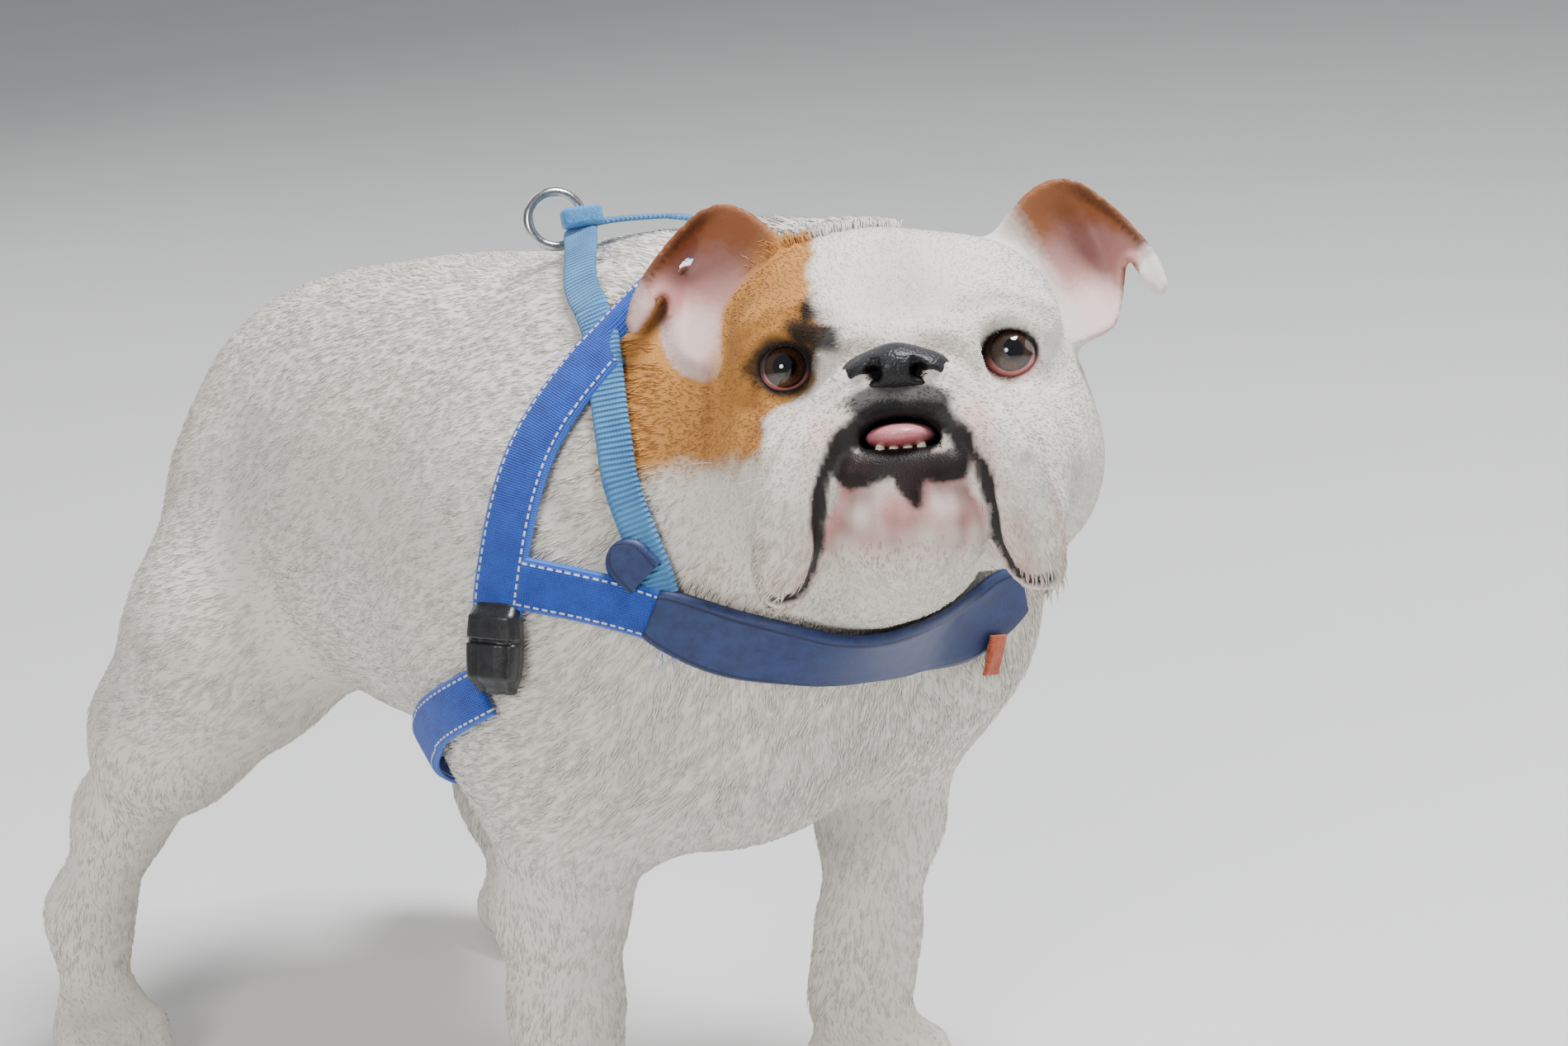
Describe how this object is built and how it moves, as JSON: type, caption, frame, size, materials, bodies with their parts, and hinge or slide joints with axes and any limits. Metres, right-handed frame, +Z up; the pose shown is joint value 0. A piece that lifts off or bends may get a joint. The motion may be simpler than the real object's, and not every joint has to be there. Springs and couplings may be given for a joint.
{
  "type": "english bulldog model",
  "caption": "Standing English bulldog with raised, turned head and a tan patch over one eye, wearing a webbing harness with a rubber chest plate and back ring.",
  "frame": {"origin": "middle of the bounding box, at floor level under the soles", "axes": "+X is the dog's left, +Y points to its rump, +Z is up; the chest points along -Y"},
  "size_m": [0.312, 0.559, 0.4218],
  "materials": {
    "coat": "short dense fur",
    "ear_skin": "thin furred skin",
    "nose_leather": "moist pebbled skin",
    "lip_skin": "bare mottled skin",
    "tongue_flesh": "wet",
    "tooth": "enamel",
    "eye": "wet and clear",
    "claw_horn": "horn",
    "royal_webbing": "woven webbing",
    "pale_webbing": "faded ribbed webbing",
    "navy_rubber": "matte rubber",
    "black_plastic": "moulded",
    "ring_steel": "polished steel",
    "orange_tag": "woven label"
  },
  "bodies": {
    "root": {"belly_strap": "royal_webbing", "buckle": "black_plastic", "chest_plate": "navy_rubber", "claw_fore_left_1": "claw_horn", "claw_fore_left_2": "claw_horn", "claw_fore_left_3": "claw_horn", "claw_fore_left_4": "claw_horn", "claw_fore_right_1": "claw_horn", "claw_fore_right_2": "claw_horn", "claw_fore_right_3": "claw_horn", "claw_fore_right_4": "claw_horn", "claw_hind_left_1": "claw_horn", "claw_hind_left_2": "claw_horn", "claw_hind_left_3": "claw_horn", "claw_hind_left_4": "claw_horn", "claw_hind_right_1": "claw_horn", "claw_hind_right_2": "claw_horn", "claw_hind_right_3": "claw_horn", "claw_hind_right_4": "claw_horn", "ear_left": "ear_skin", "ear_right": "ear_skin", "eye_left": "eye", "eye_right": "eye", "foreleg_left": "coat", "foreleg_right": "coat", "forepaw_left": "coat", "forepaw_right": "coat", "girth_strap_left": "royal_webbing", "girth_strap_right": "royal_webbing", "head": "coat", "hindleg_left": "coat", "hindleg_right": "coat", "hindpaw_left": "coat", "hindpaw_right": "coat", "lower_jaw": "lip_skin", "lower_teeth": "tooth", "neck": "coat", "neck_strap_left": "pale_webbing", "neck_strap_right": "pale_webbing", "nose": "nose_leather", "ring": "ring_steel", "side_strap_left": "royal_webbing", "side_strap_right": "royal_webbing", "strap_loop": "pale_webbing", "strap_tab": "navy_rubber", "tag": "orange_tag", "tail": "coat", "tongue": "tongue_flesh", "torso": "coat"}
  },
  "joints": []
}
